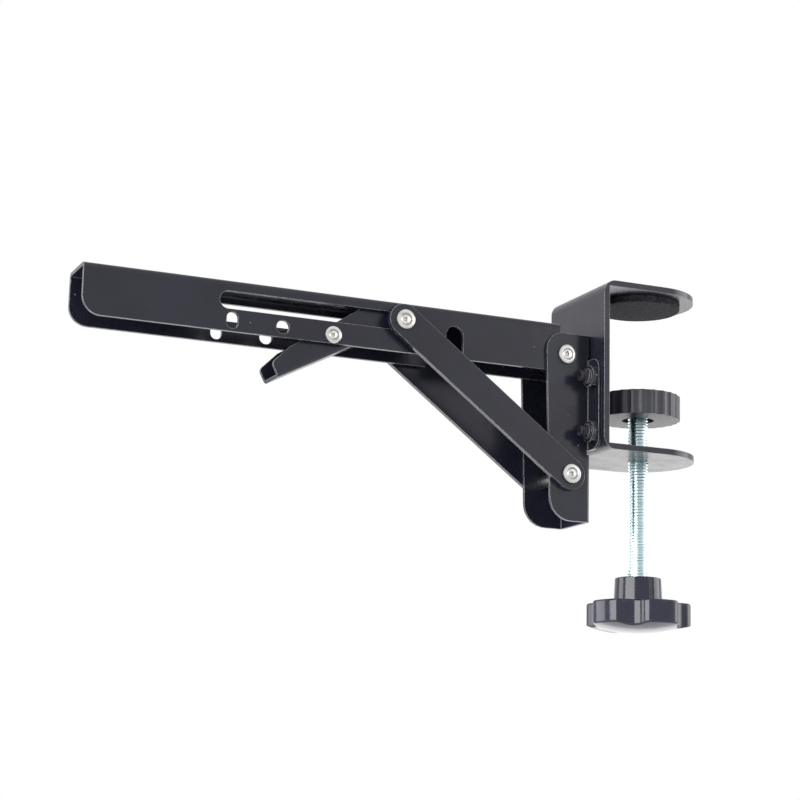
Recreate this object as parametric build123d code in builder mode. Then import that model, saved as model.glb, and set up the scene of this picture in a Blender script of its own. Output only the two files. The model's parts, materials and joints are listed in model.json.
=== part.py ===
"""Folding shelf bracket on a desk clamp, in millimetres.

+X runs from the arm's free end towards the clamp's jaws, +Y across the arm and +Z up.
The origin is the centre of the grip pad's underside, where the clamp rests on a desk.
"""

import os
from math import acos, asin, atan2, cos, degrees, hypot, radians, sin, sqrt, tan

from build123d import *

os.makedirs("parts", exist_ok=True)

# Clamp frame: one bent strip with two round-ended jaws
clamp_width = 44.0
clamp_sheet = 2.3
clamp_bend = 2.7  # inner radius
jaw_length = 49.0
desk_gap = 59.0  # clear height from the grip pad down to the lower jaw
screw_reach = 27.3  # clamp's outer face to the screw's axis
grip_pad_diameter = 33.0
grip_pad_thickness = 2.5
grip_pad_edge = 0.5

# Clamp screw and pressure pad
thread_diameter = 7.9
thread_clearance = 0.08  # radial, in the tapped jaw
thread_chamfer = 0.6
neck_diameter = 4.8
neck_length = 2.2
screw_head_diameter = 6.4  # captive in the pressure pad
screw_head_height = 2.5
swivel_clearance = 0.08  # radial and axial, neck and head in the pressure pad
pad_drop = 34.9  # grip pad's underside down to the pressure pad's top
pad_diameter = 33.0
pad_height = 9.5
pad_edge = 0.4
pad_flutes = 24
flute_depth = 0.45
flute_share = 0.86  # of the spacing, the rest is the ridge between two flutes
pad_recess_diameter = 12.5
pad_recess_depth = 1.6

# Knob
pad_to_knob_bottom = 93.7
knob_lobes = 5
knob_radius = 20.2
knob_scallop_radius = 5.5
knob_scallop_depth = 3.6
knob_lobe_rounding = 4.0
knob_height = 12.1
knob_dome = 3.3  # how far the domed underside rises to the rim
knob_edge = 0.9
knob_turn = -17.4  # degrees, how the lobes stand in the rest pose
hub_top_diameter = 17.9
hub_base_diameter = 18.8
hub_height = 9.6
hub_edge = 0.4
screw_in_knob = 14.0

# Arm: a channel, open below
arm_width = 20.0
arm_height = 19.0
arm_sheet = 1.3
arm_bend = 0.7  # inner radius
arm_reach = 190.0  # free end to the pivot
arm_below_clamp_top = 16.5
arm_tip_radius = 7.0
arm_heel_flat = 0.3
pivot_below_top = 12.4
web_end_to_pivot = 2.0
slot_height = 6.6
slot_below_top = 7.45
slot_overtravel = 2.95
slot_rest_gap = 0.5
small_hole_from_pivot = 115.4
small_hole_diameter = 5.0
small_hole_below_top = 15.1
tall_hole_from_pivot = 134.7
tall_hole_width = 4.4
tall_hole_height = 6.2
tall_hole_below_top = 14.86
notch_width = 7.2
notch_below_top = 6.66
shelf_hole_diameter = 5.2
shelf_hole_pitch = 75.0
shelf_hole_from_pivot = 15.5
shelf_hole_count = 3

# Wall bracket: a channel around the arm, with two ears turned out of its web
bracket_sheet = 1.2
bracket_bend = 0.4  # inner radius
arm_side_clearance = 0.1
pivot_to_back = 10.6
bracket_depth_top = 19.3
bracket_depth_bottom = 17.0
bracket_below_arm_top = 4.05
bracket_height = 72.75
bracket_top_radius = 7.0
bracket_bottom_radius = 9.0
ear_span = 8.5  # past the bracket's side
ear_below_arm_top = 13.9
ear_height = 35.3
ear_corner_radius = 4.8
ear_relief = 1.6

# Linkage: braces, pins and slot bushes
pin_at_rest = 68.8  # pivot to the slot pin, along the arm, with the arm up
lower_pivot_drop = 46.8
lower_pivot_offset = 1.0
brace_width = 12.0
brace_sheet = 2.0
brace_gap = 0.2  # between a brace and the bracket's side
brace_head_gap = 0.1  # between a brace and the rod's head
pin_clearance = 0.05  # radial, in every turning hole
pivot_pin_diameter = 5.0
rod_diameter = 5.0
rod_end_diameter = 4.0
brace_rivet_diameter = 4.2
head_diameter = 7.4
head_height = 1.2
head_edge = 0.4
bush_collar_diameter = 8.4
bush_keeper_diameter = 7.4
bush_keeper_thickness = 0.6
bush_slot_clearance = 0.12  # radial
bush_face_gap = 0.15

# Release lever and its torsion spring
lever_from_pivot = 95.95
lever_below_top = 15.8
lever_width = 15.0
lever_sheet = 1.2
lever_bend = 0.5  # inner radius
lever_slope = 27.6  # degrees, handle down
lever_low_edge = 6.4  # pin to the lower edge
lever_handle = 25.4  # pin to the handle's end, along the lower edge
lever_end_height = 5.9
lever_shoulder = 16.1
lever_shoulder_height = 8.75
lever_waist = 6.9
lever_waist_height = 10.65
lever_corner_radius = 2.2
lever_web_end = 7.9  # pin to the web's end, towards the nose
nose_length = 8.8
nose_ramp = 4.5
nose_step = 3.3
nose_gap = 0.6  # nose to the slot bush
nose_top_gap = 0.4  # nose to the arm's top
lever_pin_diameter = 4.0
lever_head_diameter = 6.4
lever_head_height = 1.0
spring_wire = 0.9
spring_mean_radius = 3.0
spring_pitch = 1.15
spring_full_turns = 4
spring_rest_gap = 0.15
spring_handle_reach = 14.0
spring_hook_radius = 1.2

# Ear fasteners
fastener_spacing = 21.5
fastener_from_middle = 16.2
fastener_below_ear_top = 7.3
bolt_diameter = 4.0
bolt_hole_clearance = 0.15  # radial
bolt_head_diameter = 7.8
bolt_past_nut = 2.8
bolt_chamfer = 0.5
nut_flats = 7.0
nut_height = 3.6
nut_flange_diameter = 8.4
nut_flange_height = 1.6  # the flange faces outwards
nut_flange_edge = 0.5

# Clamp and screw, worked out from the sizes above
clamp_back = -screw_reach
clamp_inner = clamp_back + clamp_sheet
clamp_top = grip_pad_thickness + clamp_sheet
jaw_tip = clamp_back + jaw_length
jaw_centre = jaw_tip - clamp_width / 2
lower_jaw_top = -desk_gap
clamp_bottom = lower_jaw_top - clamp_sheet
pad_top = -pad_drop
pad_bottom = pad_top - pad_height
screw_shoulder = pad_bottom + pad_recess_depth
screw_head_bottom = screw_shoulder + neck_length
screw_head_top = screw_head_bottom + screw_head_height
knob_bottom = pad_top - pad_to_knob_bottom
knob_top = knob_bottom + knob_height
hub_top = knob_top + hub_height
screw_bottom = hub_top - screw_in_knob

# Arm, bracket and linkage
arm_top = clamp_top - arm_below_clamp_top
arm_bottom = arm_top - arm_height
arm_half = arm_width / 2
arm_inner = arm_half - arm_sheet
pivot_x = clamp_back - pivot_to_back
pivot_z = arm_top - pivot_below_top
arm_tip = pivot_x - arm_reach
heel_reach = arm_height - pivot_below_top
slot_z = arm_top - slot_below_top
pin_x = pivot_x - pin_at_rest
lower_x = pivot_x + lower_pivot_offset
lower_z = pivot_z - lower_pivot_drop
brace_length = hypot(lower_x - pin_x, slot_z - lower_z)
brace_angle = degrees(atan2(slot_z - lower_z, pin_x - lower_x))

# Folded by a right angle, the slot's line stands in front of the arm's pivot
folded_offset = pivot_below_top - slot_below_top + lower_pivot_offset
pin_folded = lower_pivot_drop + sqrt(brace_length**2 - folded_offset**2)
folded_brace_angle = degrees(atan2(lower_pivot_drop - pin_folded, -folded_offset)) + 360

bracket_inner = arm_half + arm_side_clearance
bracket_side = bracket_inner + bracket_sheet
bracket_front_face = clamp_back - bracket_sheet
bracket_top = arm_top - bracket_below_arm_top
bracket_bottom = bracket_top - bracket_height
ear_bottom = arm_top - ear_below_arm_top - ear_height
ear_edge = bracket_side + ear_span
brace_inner = bracket_side + brace_gap
brace_outer = brace_inner + brace_sheet
rod_head_seat = brace_outer + brace_head_gap
collar_inner = arm_half + bush_face_gap
collar_outer = brace_inner - bush_face_gap
keeper_outer = arm_inner - bush_face_gap

# Lever and spring, from the lever's pin
lever_x = pivot_x - lever_from_pivot
lever_z = arm_top - lever_below_top
tilt = radians(lever_slope)
nose_end = pin_x - slot_height / 2 - nose_gap - lever_x
nose_top = lever_below_top - arm_sheet - nose_top_gap
nose_low = (nose_end * sin(tilt) - lever_low_edge) / cos(tilt)
hook_x = lever_from_pivot - small_hole_from_pivot
hook_z = lever_below_top - small_hole_below_top + (small_hole_diameter - spring_wire) / 2
hook_z -= spring_rest_gap

# Fasteners
fastener_top = arm_top - ear_below_arm_top - fastener_below_ear_top
fastener_places = {
    "near_upper": (-fastener_from_middle, fastener_top),
    "near_lower": (-fastener_from_middle, fastener_top - fastener_spacing),
    "far_upper": (fastener_from_middle, fastener_top),
    "far_lower": (fastener_from_middle, fastener_top - fastener_spacing),
}
bolt_tip = bracket_front_face - nut_height - bolt_past_nut


def side_disc(x, z, radius, start, end):
    """A disc with its axis across the arm, from one Y to another."""
    with BuildSketch(Plane.XZ.offset(-start)) as disc:
        with Locations((x, z)):
            Circle(radius)
    extrude(disc.sketch, amount=start - end)


def rounded_channel(width, depth, radius):
    """A channel's outline below the middle of its closed side, with that side's corners rounded."""
    with BuildSketch(mode=Mode.PRIVATE) as outline:
        Rectangle(width, depth, align=(Align.CENTER, Align.MAX))
        fillet(outline.vertices().group_by(Axis.Y)[-1], radius=radius)
    return outline.sketch


# Clamp frame
with BuildPart() as clamp_frame:
    with BuildSketch(Plane.XZ) as clamp_section:
        with BuildLine():
            Polyline(
                (jaw_tip, clamp_top),
                (clamp_back, clamp_top),
                (clamp_back, clamp_bottom),
                (jaw_tip, clamp_bottom),
                (jaw_tip, lower_jaw_top),
                (clamp_inner, lower_jaw_top),
                (clamp_inner, grip_pad_thickness),
                (jaw_tip, grip_pad_thickness),
                close=True,
            )
        make_face()
        bends = clamp_section.vertices().group_by(Axis.X)
        fillet(bends[0], radius=clamp_bend + clamp_sheet)
        fillet(bends[1], radius=clamp_bend)
    extrude(amount=clamp_width / 2, both=True)
    with BuildSketch(Plane.XY.offset(clamp_bottom)):
        with Locations((clamp_back, 0)):
            Rectangle(jaw_centre - clamp_back, clamp_width, align=(Align.MIN, Align.CENTER))
        with Locations((jaw_centre, 0)):
            Circle(clamp_width / 2)
    extrude(amount=clamp_top - clamp_bottom, mode=Mode.INTERSECT)
    with BuildSketch(Plane.XY.offset(clamp_bottom)):
        Circle(thread_diameter / 2 + thread_clearance)
    extrude(amount=clamp_sheet, mode=Mode.SUBTRACT)
    with Locations(Plane(origin=(clamp_inner, 0, 0), x_dir=(0, 1, 0), z_dir=(1, 0, 0))):
        with Locations(*fastener_places.values()):
            CounterSinkHole(
                bolt_diameter / 2 + bolt_hole_clearance,
                bolt_head_diameter / 2,
                depth=clamp_sheet,
                counter_sink_angle=90,
            )
clamp_frame.part.label = "clamp_frame"
export_step(clamp_frame.part, "parts/clamp_frame.step")

# Grip pad
with BuildPart() as grip_pad:
    with BuildSketch():
        Circle(grip_pad_diameter / 2)
    extrude(amount=grip_pad_thickness)
    fillet(grip_pad.edges().group_by(Axis.Z)[0], radius=grip_pad_edge)
grip_pad.part.label = "grip_pad"
export_step(grip_pad.part, "parts/grip_pad.step")

# Clamp screw, with the neck and the head that the pressure pad turns on
with BuildPart() as clamp_screw:
    with BuildSketch(Plane.XZ) as screw_section:
        with BuildLine():
            Polyline(
                (0, screw_bottom),
                (thread_diameter / 2, screw_bottom),
                (thread_diameter / 2, screw_shoulder),
                (neck_diameter / 2, screw_shoulder),
                (neck_diameter / 2, screw_head_bottom),
                (screw_head_diameter / 2, screw_head_bottom),
                (screw_head_diameter / 2, screw_head_top),
                (0, screw_head_top),
                close=True,
            )
        make_face()
        rims = screw_section.vertices().group_by(Axis.X)
        chamfer(rims[-1] + rims[-2].sort_by(Axis.Y)[-1:], length=thread_chamfer)
    revolve(axis=Axis.Z)
clamp_screw.part.label = "clamp_screw"
export_step(clamp_screw.part, "parts/clamp_screw.step")

# Pressure pad: fluted disc, snapped over the screw's head
with BuildPart() as pressure_pad:
    with BuildSketch(Plane.XY.offset(pad_bottom)):
        Circle(pad_diameter / 2)
        flute_chord = flute_share * pad_diameter * sin(radians(180 / pad_flutes))
        flute_radius = (flute_chord**2 / 4 + flute_depth**2) / (2 * flute_depth)
        with PolarLocations(pad_diameter / 2 + flute_radius - flute_depth, pad_flutes):
            Circle(flute_radius, mode=Mode.SUBTRACT)
    extrude(amount=pad_height)
    chamfer(pressure_pad.edges().group_by(Axis.Z)[-1], length=pad_edge)
    with BuildSketch(Plane.XZ):
        with BuildLine():
            recess_top = screw_shoulder + swivel_clearance
            head_low = screw_head_bottom - swivel_clearance
            head_high = screw_head_top + swivel_clearance
            Polyline(
                (0, pad_bottom),
                (pad_recess_diameter / 2, pad_bottom),
                (pad_recess_diameter / 2, recess_top),
                (neck_diameter / 2 + swivel_clearance, recess_top),
                (neck_diameter / 2 + swivel_clearance, head_low),
                (screw_head_diameter / 2 + swivel_clearance, head_low),
                (screw_head_diameter / 2 + swivel_clearance, head_high),
                (0, head_high),
                close=True,
            )
        make_face()
    revolve(axis=Axis.Z, mode=Mode.SUBTRACT)
pressure_pad.part.label = "pressure_pad"
export_step(pressure_pad.part, "parts/pressure_pad.step")

# Knob: lobed body with a tapered hub
with BuildPart() as clamp_knob:
    with BuildSketch(Plane.XY.offset(knob_bottom)) as knob_outline:
        scallop_place = knob_radius + knob_scallop_radius - knob_scallop_depth
        scallop_turn = knob_turn + 180 / knob_lobes
        with Locations(Location((0, 0), scallop_turn)):
            Circle(knob_radius)
        with PolarLocations(scallop_place, knob_lobes, start_angle=scallop_turn):
            Circle(knob_scallop_radius, mode=Mode.SUBTRACT)
        fillet(knob_outline.vertices(), radius=knob_lobe_rounding)
    extrude(amount=knob_height)
    with BuildSketch(Plane.XZ):
        with BuildLine():
            dome_radius = (knob_radius**2 + knob_dome**2) / (2 * knob_dome)
            dome_angle = degrees(asin((knob_radius + knob_edge) / dome_radius))
            dome = CenterArc((0, knob_bottom + dome_radius), dome_radius, 270, dome_angle)
            Polyline(dome @ 1, (knob_radius + knob_edge, knob_top), (0, knob_top), dome @ 0)
        make_face()
    revolve(axis=Axis.Z, mode=Mode.INTERSECT)
    ends = clamp_knob.faces().sort_by(Axis.Z)
    fillet(ends[0].edges() + ends[-1].edges(), radius=knob_edge)
    with BuildSketch(Plane.XY.offset(knob_top)):
        Circle(hub_base_diameter / 2)
    with BuildSketch(Plane.XY.offset(hub_top)):
        Circle(hub_top_diameter / 2)
    loft()
    fillet(clamp_knob.edges().group_by(Axis.Z)[-1], radius=hub_edge)
    with BuildSketch(Plane.XY.offset(hub_top)):
        Circle(thread_diameter / 2)
    extrude(amount=-screw_in_knob, mode=Mode.SUBTRACT)
clamp_knob.part.label = "clamp_knob"
export_step(clamp_knob.part, "parts/clamp_knob.step")

# Wall bracket
with BuildPart() as wall_bracket:
    with BuildSketch(Plane((clamp_back, 0, bracket_bottom), (0, -1, 0), (0, 0, 1))):
        add(rounded_channel(2 * bracket_side, bracket_depth_top, bracket_bend + bracket_sheet))
        hollow = rounded_channel(2 * bracket_inner, bracket_depth_top, bracket_bend)
        with Locations((0, -bracket_sheet)):
            add(hollow, mode=Mode.SUBTRACT)
    extrude(amount=bracket_height)
    with BuildSketch(Plane.XZ) as bracket_side_view:
        with BuildLine():
            Polyline(
                (clamp_back, bracket_top),
                (clamp_back - bracket_depth_top, bracket_top),
                (clamp_back - bracket_depth_bottom, bracket_bottom),
                (clamp_back, bracket_bottom),
                close=True,
            )
        make_face()
        front = bracket_side_view.vertices().sort_by(Axis.X)[:2].sort_by(Axis.Y)
        fillet(front[-1], radius=bracket_top_radius)
        front = bracket_side_view.vertices().sort_by(Axis.Y)[:2].sort_by(Axis.X)
        fillet(front[0], radius=bracket_bottom_radius)
    extrude(amount=ear_edge, both=True, mode=Mode.INTERSECT)

    # The ears are cut free of the web and turned outwards
    bend_centre = bracket_front_face - bracket_bend
    with BuildSketch(Plane.XZ):
        with Locations((bend_centre, ear_bottom - ear_relief)):
            Rectangle(
                clamp_back - bend_centre,
                ear_height + 2 * ear_relief,
                align=(Align.MIN, Align.MIN),
            )
    extrude(amount=ear_edge, both=True, mode=Mode.SUBTRACT)
    with BuildSketch(Plane.XY.offset(ear_bottom)):
        with BuildLine():
            bend_y = bracket_side + bracket_bend
            outer_bend = CenterArc((bend_centre, bend_y), bracket_bend + bracket_sheet, 270, 90)
            inner_bend = CenterArc((bend_centre, bend_y), bracket_bend, 270, 90)
            Line(outer_bend @ 0, inner_bend @ 0)
            Polyline(
                outer_bend @ 1,
                (clamp_back, ear_edge),
                (bracket_front_face, ear_edge),
                inner_bend @ 1,
            )
        make_face()
        mirror(about=Plane.XZ)
    extrude(amount=ear_height)
    ear_ends = wall_bracket.faces().filter_by(Axis.Y).group_by(Axis.Y)
    ear_ends = ear_ends[0] + ear_ends[-1]
    fillet(ear_ends.edges().filter_by(Axis.X), radius=ear_corner_radius)
    with BuildSketch(Plane.XZ):
        with Locations((pivot_x, pivot_z)):
            Circle(pivot_pin_diameter / 2)
        with Locations((lower_x, lower_z)):
            Circle(rod_end_diameter / 2)
    extrude(amount=ear_edge, both=True, mode=Mode.SUBTRACT)
    with BuildSketch(Plane((clamp_back, 0, 0), (0, 1, 0), (1, 0, 0))):
        with Locations(*fastener_places.values()):
            Circle(bolt_diameter / 2 + bolt_hole_clearance)
    extrude(amount=-bracket_sheet, mode=Mode.SUBTRACT)
wall_bracket.part.label = "wall_bracket"
export_step(wall_bracket.part, "parts/wall_bracket.step")

# Arm pivot pin, riveted over the bracket's sides
with BuildPart() as arm_pivot_pin:
    side_disc(pivot_x, pivot_z, pivot_pin_diameter / 2, -bracket_side, bracket_side)
    side_disc(pivot_x, pivot_z, head_diameter / 2, bracket_side, bracket_side + head_height)
    mirror(about=Plane.XZ)
    rims = arm_pivot_pin.edges().group_by(Axis.Y)
    fillet(rims[0] + rims[-1], radius=head_edge)
arm_pivot_pin.part.label = "arm_pivot_pin"
export_step(arm_pivot_pin.part, "parts/arm_pivot_pin.step")

# Lower pivot rod, shouldered between the bracket's sides and riveted outside the braces
with BuildPart() as lower_pivot_rod:
    side_disc(lower_x, lower_z, rod_diameter / 2, -bracket_inner, bracket_inner)
    side_disc(lower_x, lower_z, rod_end_diameter / 2, bracket_inner, rod_head_seat)
    side_disc(lower_x, lower_z, head_diameter / 2, rod_head_seat, rod_head_seat + head_height)
    mirror(about=Plane.XZ)
    rims = lower_pivot_rod.edges().group_by(Axis.Y)
    fillet(rims[0] + rims[-1], radius=head_edge)
lower_pivot_rod.part.label = "lower_pivot_rod"
export_step(lower_pivot_rod.part, "parts/lower_pivot_rod.step")

# Shelf arm
with BuildPart() as shelf_arm:
    with BuildSketch(Plane((arm_tip, 0, arm_top), (0, 1, 0), (1, 0, 0))):
        add(rounded_channel(arm_width, arm_height, arm_bend + arm_sheet))
        hollow = rounded_channel(2 * arm_inner, arm_height, arm_bend)
        with Locations((0, -arm_sheet)):
            add(hollow, mode=Mode.SUBTRACT)
    extrude(amount=arm_reach + heel_reach)
    with BuildSketch(Plane.XZ) as arm_side_view:
        with BuildLine():
            heel_x = pivot_x + heel_reach
            heel_top = pivot_z + heel_reach
            Polyline(
                (arm_tip, arm_top),
                (arm_tip, arm_bottom),
                (heel_x, arm_bottom),
                (heel_x, heel_top),
                (pivot_x - web_end_to_pivot, heel_top),
                (pivot_x - web_end_to_pivot, arm_top),
                close=True,
            )
        make_face()
        tip_corner = arm_side_view.vertices().group_by(Axis.X)[0].sort_by(Axis.Y)[0]
        fillet(tip_corner, radius=arm_tip_radius)
        fillet(arm_side_view.vertices().group_by(Axis.X)[-1], radius=heel_reach - arm_heel_flat)
    extrude(amount=arm_half, both=True, mode=Mode.INTERSECT)
    with BuildSketch(Plane.XZ):
        slot_start = pin_x + slot_rest_gap
        slot_end = pivot_x - pin_folded - slot_overtravel
        with Locations(((slot_start + slot_end) / 2, slot_z)):
            SlotCenterToCenter(slot_start - slot_end, slot_height)
        with Locations((pivot_x - small_hole_from_pivot, arm_top - small_hole_below_top)):
            Circle(small_hole_diameter / 2)
        with Locations((pivot_x - tall_hole_from_pivot, arm_top - tall_hole_below_top)):
            SlotOverall(tall_hole_height, tall_hole_width, rotation=90)
        with Locations((pivot_x, pivot_z)):
            Circle(pivot_pin_diameter / 2 + pin_clearance)
        with Locations((lever_x, lever_z)):
            Circle(lever_pin_diameter / 2)
        with Locations((pivot_x - lower_pivot_drop, arm_top - notch_below_top - notch_width / 2)):
            Circle(notch_width / 2)
            Rectangle(notch_width, arm_height, align=(Align.CENTER, Align.MAX))
    extrude(amount=arm_half, both=True, mode=Mode.SUBTRACT)
    with BuildSketch(Plane.XY.offset(arm_top)):
        for i in range(shelf_hole_count):
            with Locations((pivot_x - shelf_hole_from_pivot - i * shelf_hole_pitch, 0)):
                Circle(shelf_hole_diameter / 2)
    extrude(amount=-arm_sheet, mode=Mode.SUBTRACT)
shelf_arm.part.label = "shelf_arm"
export_step(shelf_arm.part, "parts/shelf_arm.step")

# Lever pin, riveted over the arm's sides
with BuildPart() as lever_pin:
    side_disc(lever_x, lever_z, lever_pin_diameter / 2, -arm_half, arm_half)
    side_disc(lever_x, lever_z, lever_head_diameter / 2, arm_half, arm_half + lever_head_height)
    mirror(about=Plane.XZ)
    rims = lever_pin.edges().group_by(Axis.Y)
    fillet(rims[0] + rims[-1], radius=head_edge)
lever_pin.part.label = "lever_pin"
export_step(lever_pin.part, "parts/lever_pin.step")

# Release lever: a channel with its handle below the arm and a nose of two bare sides.
# Its side plane has x along the lower edge, towards the nose, and its origin on the pin.
lever_side = Plane(
    origin=(lever_x, 0, lever_z),
    x_dir=(cos(tilt), 0, sin(tilt)),
    z_dir=(0, -1, 0),
)


def in_lever(x, z):
    """A level point, given from the lever's pin, in the lever's own side plane."""
    return (x * cos(tilt) + z * sin(tilt), z * cos(tilt) - x * sin(tilt))


with BuildPart() as release_lever:
    channel_end = lever_side.from_local_coords((-lever_handle, -lever_low_edge, 0))
    channel_height = 2 * lever_waist_height
    with BuildSketch(Plane(channel_end, (0, 1, 0), (cos(tilt), 0, sin(tilt)))):
        outside = rounded_channel(lever_width, channel_height, lever_bend + lever_sheet)
        hollow = rounded_channel(lever_width - 2 * lever_sheet, channel_height, lever_bend)
        with Locations(Location((0, 0), 180)):
            add(outside)
        with Locations(Location((0, lever_sheet), 180)):
            add(hollow, mode=Mode.SUBTRACT)
    extrude(amount=lever_handle + lever_web_end)
    for side in (-1, 1):
        with BuildSketch(lever_side.offset(-side * lever_width / 2)):
            with Locations((lever_web_end, -lever_low_edge)):
                Rectangle(nose_end, channel_height, align=(Align.MIN, Align.MIN))
        extrude(amount=side * lever_sheet)
    with BuildSketch(lever_side) as lever_outline:
        with BuildLine():
            Polyline(
                (-lever_handle, -lever_low_edge),
                (-lever_handle, lever_end_height - lever_low_edge),
                (-lever_shoulder, lever_shoulder_height - lever_low_edge),
                (lever_waist, lever_waist_height - lever_low_edge),
                in_lever(nose_end - nose_length - nose_ramp, nose_top - nose_step),
                in_lever(nose_end - nose_length, nose_top),
                in_lever(nose_end, nose_top),
                in_lever(nose_end, nose_low),
                close=True,
            )
        make_face()
        handle_corner = lever_outline.vertices().sort_by(Axis.X)[:2].sort_by(Axis.Y)[-1]
        fillet(handle_corner, radius=lever_corner_radius)
    extrude(amount=lever_width / 2, both=True, mode=Mode.INTERSECT)
    with BuildSketch(lever_side):
        Circle(lever_pin_diameter / 2 + pin_clearance)
    extrude(amount=lever_width / 2, both=True, mode=Mode.SUBTRACT)
release_lever.part.label = "release_lever"
export_step(release_lever.part, "parts/release_lever.step")


def leave_angle(x, z, way):
    """Degrees round the lever's pin at which a straight leg to a point leaves the coil."""
    return degrees(atan2(z, x) + way * acos(spring_mean_radius / hypot(x, z)))


# Lever spring: a leg on the lever's web, a coil round the pin, a leg hooked in the far side
web_height = lever_low_edge - lever_sheet - spring_wire / 2 - spring_rest_gap
rest_angle = leave_angle(-spring_handle_reach, -web_height, 1) + lever_slope
hook_angle = leave_angle(hook_x, hook_z, -1)
coil_turns = spring_full_turns + ((hook_angle - rest_angle) % 360) / 360
coil_length = coil_turns * spring_pitch
coil = Helix(
    pitch=spring_pitch,
    height=coil_length,
    radius=spring_mean_radius,
    center=(lever_x, -coil_length / 2, lever_z),
    direction=(0, 1, 0),
    lefthand=True,
)
# The helix starts straight above the pin
coil = coil.rotate(Axis((lever_x, 0, lever_z), (0, -1, 0)), rest_angle - 90)
with BuildPart() as lever_spring:
    with BuildLine() as rest_path:
        Line(coil @ 0 - coil % 0 * spring_handle_reach, coil @ 0)
    across = Vector(0, 1, 0)
    hook_corner = coil @ 1 + coil % 1 * hypot(hook_x, hook_z)
    bend_reach = spring_hook_radius * tan(radians((coil % 1).get_angle(across)) / 2)
    with BuildLine() as hook_path:
        leg = Line(coil @ 1, hook_corner - coil % 1 * bend_reach)
        bend = TangentArc(leg @ 1, hook_corner + across * bend_reach, tangent=coil % 1)
        Line(bend @ 1, (hook_corner.X, arm_half, hook_corner.Z))
    for path in (rest_path.wire(), coil, hook_path.wire()):
        with BuildSketch(Plane(path @ 0, z_dir=path % 0)):
            Circle(spring_wire / 2)
        sweep(path=path, is_frenet=True)
lever_spring.part.label = "lever_spring"
export_step(lever_spring.part, "parts/lever_spring.step")

# On each side: a brace, the rivet at its upper end and the bush that slides in the slot
for side, name in ((-1, "near"), (1, "far")):
    with BuildPart() as brace:
        with BuildSketch(Plane.XZ.offset(-side * brace_inner)):
            with Locations(((lower_x + pin_x) / 2, (lower_z + slot_z) / 2)):
                SlotCenterToCenter(brace_length, brace_width, rotation=brace_angle)
            with Locations((lower_x, lower_z)):
                Circle(rod_end_diameter / 2 + pin_clearance, mode=Mode.SUBTRACT)
            with Locations((pin_x, slot_z)):
                Circle(brace_rivet_diameter / 2, mode=Mode.SUBTRACT)
        extrude(amount=-side * brace_sheet)
    brace.part.label = f"brace_{name}"
    export_step(brace.part, f"parts/brace_{name}.step")

    with BuildPart() as brace_rivet:
        head_end = brace_outer + head_height
        side_disc(pin_x, slot_z, brace_rivet_diameter / 2, side * brace_inner, side * brace_outer)
        side_disc(pin_x, slot_z, head_diameter / 2, side * brace_outer, side * head_end)
        rims = brace_rivet.edges().group_by(Axis.Y)
        fillet(rims[0] if side < 0 else rims[-1], radius=head_edge)
    brace_rivet.part.label = f"brace_rivet_{name}"
    export_step(brace_rivet.part, f"parts/brace_rivet_{name}.step")

    with BuildPart() as slot_bush:
        stub_radius = slot_height / 2 - bush_slot_clearance
        keeper_inner = keeper_outer - bush_keeper_thickness
        side_disc(pin_x, slot_z, bush_collar_diameter / 2, side * collar_inner, side * collar_outer)
        side_disc(pin_x, slot_z, stub_radius, side * keeper_outer, side * collar_inner)
        side_disc(pin_x, slot_z, bush_keeper_diameter / 2, side * keeper_inner, side * keeper_outer)
    slot_bush.part.label = f"slot_bush_{name}"
    export_step(slot_bush.part, f"parts/slot_bush_{name}.step")

# Bolts and flange nuts that hold the bracket's ears on the clamp
for place, (bolt_y, bolt_z) in fastener_places.items():
    with BuildPart() as ear_bolt:
        with BuildSketch(Plane((0, bolt_y, bolt_z), (1, 0, 0), (0, -1, 0))):
            with BuildLine():
                bolt_radius = bolt_diameter / 2
                bolt_head_radius = bolt_head_diameter / 2
                Polyline(
                    (clamp_inner, 0),
                    (clamp_inner, bolt_head_radius),
                    (clamp_inner - bolt_head_radius + bolt_radius, bolt_radius),
                    (bolt_tip + bolt_chamfer, bolt_radius),
                    (bolt_tip, bolt_radius - bolt_chamfer),
                    (bolt_tip, 0),
                    close=True,
                )
            make_face()
        revolve(axis=Axis((0, bolt_y, bolt_z), (1, 0, 0)))
    ear_bolt.part.label = f"ear_bolt_{place}"
    export_step(ear_bolt.part, f"parts/ear_bolt_{place}.step")

    with BuildPart() as ear_nut:
        nut_seat = Plane((bracket_front_face, bolt_y, bolt_z), (0, 1, 0), (-1, 0, 0))
        with BuildSketch(nut_seat):
            RegularPolygon(nut_flats / 2, 6, major_radius=False)
        extrude(amount=nut_height - nut_flange_height)
        with BuildSketch(nut_seat.offset(nut_height - nut_flange_height)):
            Circle(nut_flange_diameter / 2)
        extrude(amount=nut_flange_height)
        fillet(ear_nut.edges().sort_by(Axis.X)[0], radius=nut_flange_edge)
        with BuildSketch(nut_seat):
            Circle(bolt_diameter / 2)
        extrude(amount=nut_height, mode=Mode.SUBTRACT)
    ear_nut.part.label = f"ear_nut_{place}"
    export_step(ear_nut.part, f"parts/ear_nut_{place}.step")

print(f"slot pin from the pivot: {pin_at_rest:.2f} up, {pin_folded:.2f} folded")
print(f"brace turns {folded_brace_angle - brace_angle:.3f} degrees")
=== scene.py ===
"""Looks of the folding shelf bracket on its desk clamp, and the studio that shows it.

Everything is in metres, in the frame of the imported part: +X towards the clamp's jaws, +Y across
the arm, +Z up, with the origin at the centre of the grip pad's underside.
"""

import json
import math

import bmesh
import bpy
from bpy.props import FloatProperty, FloatVectorProperty, PointerProperty
from mathutils import Matrix, Vector, noise

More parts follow.
